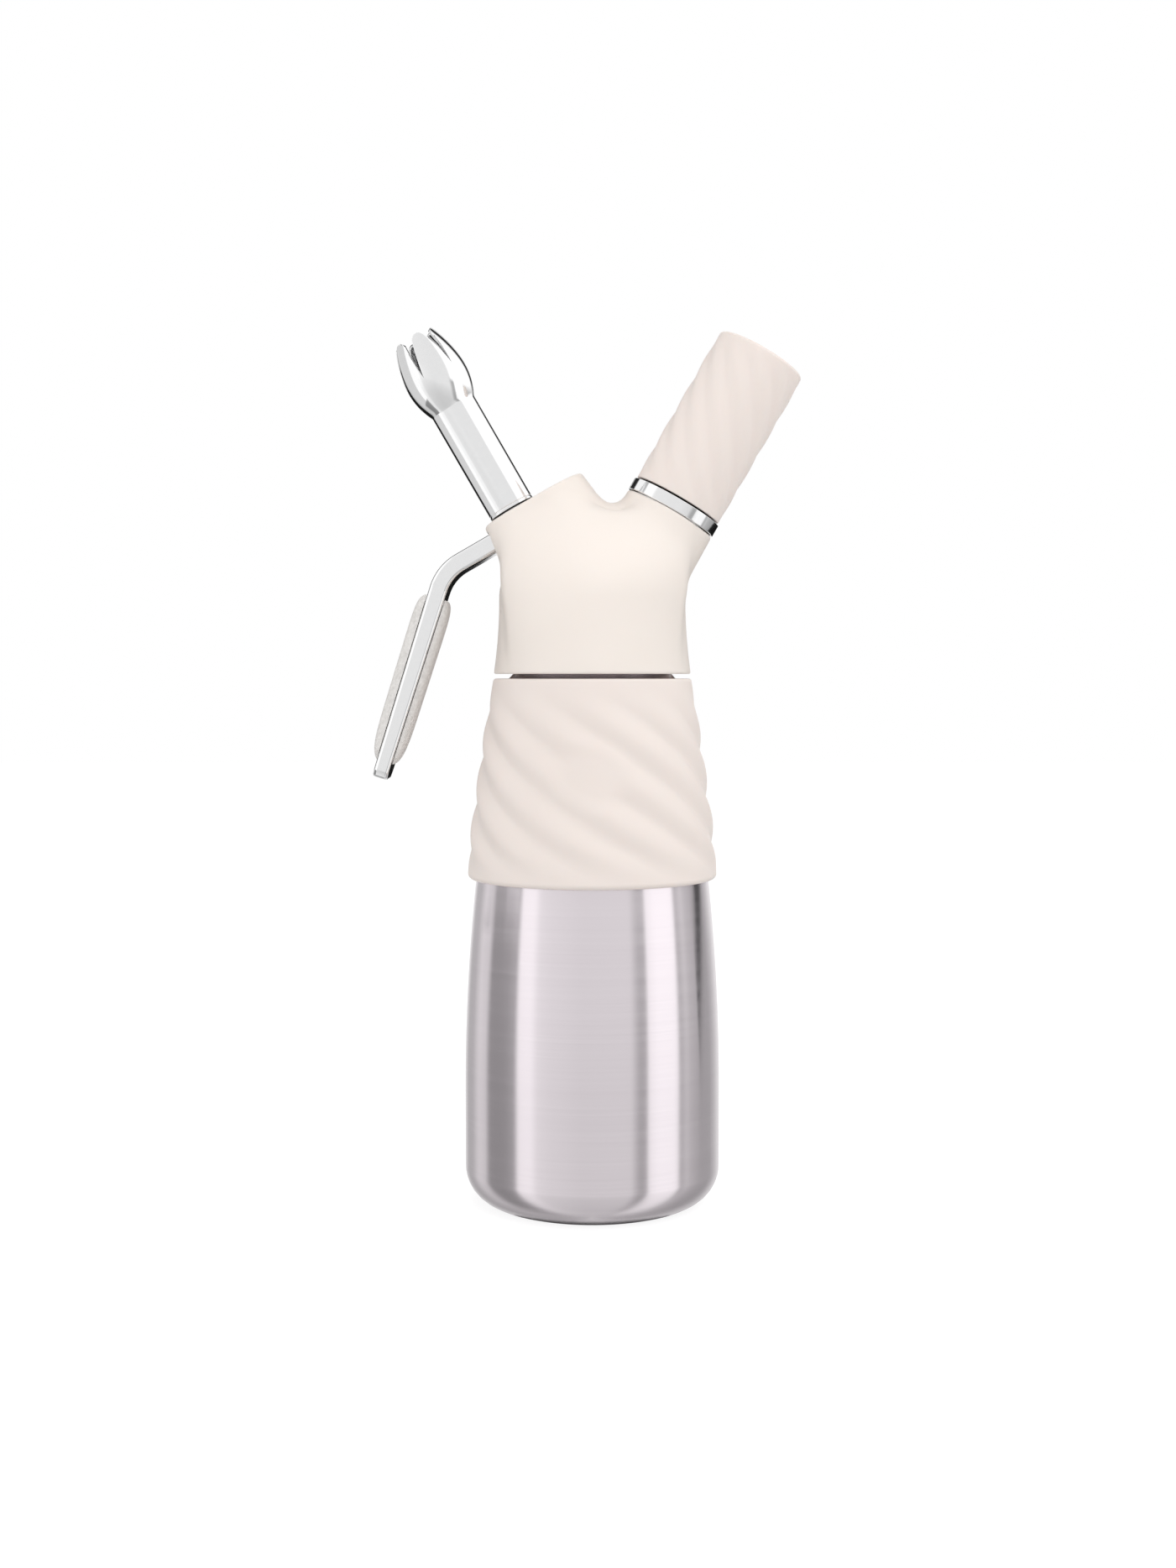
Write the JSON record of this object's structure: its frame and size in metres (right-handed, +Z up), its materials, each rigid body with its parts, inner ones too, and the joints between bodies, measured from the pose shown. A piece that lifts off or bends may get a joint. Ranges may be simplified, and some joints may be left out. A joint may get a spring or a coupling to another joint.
{
  "type": "whipped cream dispenser",
  "caption": "Steel bottle with a ribbed silicone sleeve, a Y-shaped head with a squeeze lever and tulip tip on one arm and a screw-on gas charger holder on the other.",
  "frame": {"origin": "centre of the bottle's flat base", "axes": "+Z up the bottle, -X to the tip and lever, +X to the charger holder"},
  "size_m": [0.1298, 0.078, 0.2664],
  "materials": {
    "brushed_steel": "fine circumferential brushing",
    "cream_silicone": "soft matte silicone",
    "cream_shell": "satin moulded",
    "polished_steel": "polished",
    "turned_steel": "turned",
    "seal_rubber": "matte",
    "charger_steel": "zinc plated"
  },
  "bodies": {
    "bottle": {"bottle": "brushed_steel", "bottle_base": "brushed_steel", "grip_sleeve": "cream_silicone"},
    "gasket": {"head_gasket": "seal_rubber"},
    "head": {"head_body": "cream_shell", "thread_ring": "turned_steel", "valve_guide": "turned_steel", "valve_spring": "turned_steel", "outlet_nipple": "turned_steel", "nipple_ring": "seal_rubber", "lever_pin": "turned_steel", "charger_nipple": "turned_steel", "check_sleeve": "seal_rubber", "piercing_pin": "turned_steel", "charger_seal": "seal_rubber"},
    "lever": {"lever": "polished_steel", "lever_grip": "cream_silicone"},
    "valve": {"valve_stem": "turned_steel", "valve_washer": "seal_rubber", "stem_ring_lower": "seal_rubber", "stem_ring_upper": "seal_rubber", "spring_cup": "turned_steel", "cup_clip": "turned_steel"},
    "tip_seal": {"tip_ring": "seal_rubber"},
    "tip": {"decorator_tip": "polished_steel"},
    "charger": {"gas_charger": "charger_steel", "charger_cap": "charger_steel"},
    "holder": {"charger_holder": "polished_steel", "holder_grip": "cream_silicone"}
  },
  "joints": [
    {"name": "head_lift", "type": "slide", "parent": "bottle", "child": "gasket", "axis": [0, 0, 1], "range_m": [0, 0.0075]},
    {"name": "head_turn", "type": "hinge", "parent": "gasket", "child": "head", "pos_m": [0, 0, 0.17], "axis": [0, 0, 1], "range_deg": [0, 900]},
    {"name": "lever_squeeze", "type": "hinge", "parent": "head", "child": "lever", "pos_m": [-0.00918, 0, 0.2125], "axis": [0, -1, 0], "range_deg": [0, 12], "stiffness_Nm_per_rad": 1, "springref_deg": -11.46},
    {"name": "valve_push", "type": "slide", "parent": "head", "child": "valve", "axis": [0.5, 0, -0.866], "range_m": [0, 0.0028], "deforming": ["valve_spring"]},
    {"name": "tip_lift", "type": "slide", "parent": "head", "child": "tip_seal", "axis": [-0.5, 0, 0.866], "range_m": [0, 0.006]},
    {"name": "tip_turn", "type": "hinge", "parent": "tip_seal", "child": "tip", "pos_m": [0, 0, 0.17], "axis": [-0.5, 0, 0.866], "range_deg": [0, 1440]},
    {"name": "charger_lift", "type": "slide", "parent": "head", "child": "charger", "axis": [0.5, 0, 0.866], "range_m": [0, 0.00875]},
    {"name": "holder_turn", "type": "hinge", "parent": "charger", "child": "holder", "pos_m": [0, 0, 0.17], "axis": [0.5, 0, 0.866], "range_deg": [0, 1260]}
  ],
  "couplings": [
    {"joint": "head_lift", "follows": "head_turn", "m_per_rad": 0.00047746},
    {"joint": "valve_push", "follows": "lever_squeeze", "m_per_rad": 0.0133},
    {"joint": "tip_lift", "follows": "tip_turn", "m_per_rad": 0.00023873},
    {"joint": "charger_lift", "follows": "holder_turn", "m_per_rad": 0.00039789}
  ]
}
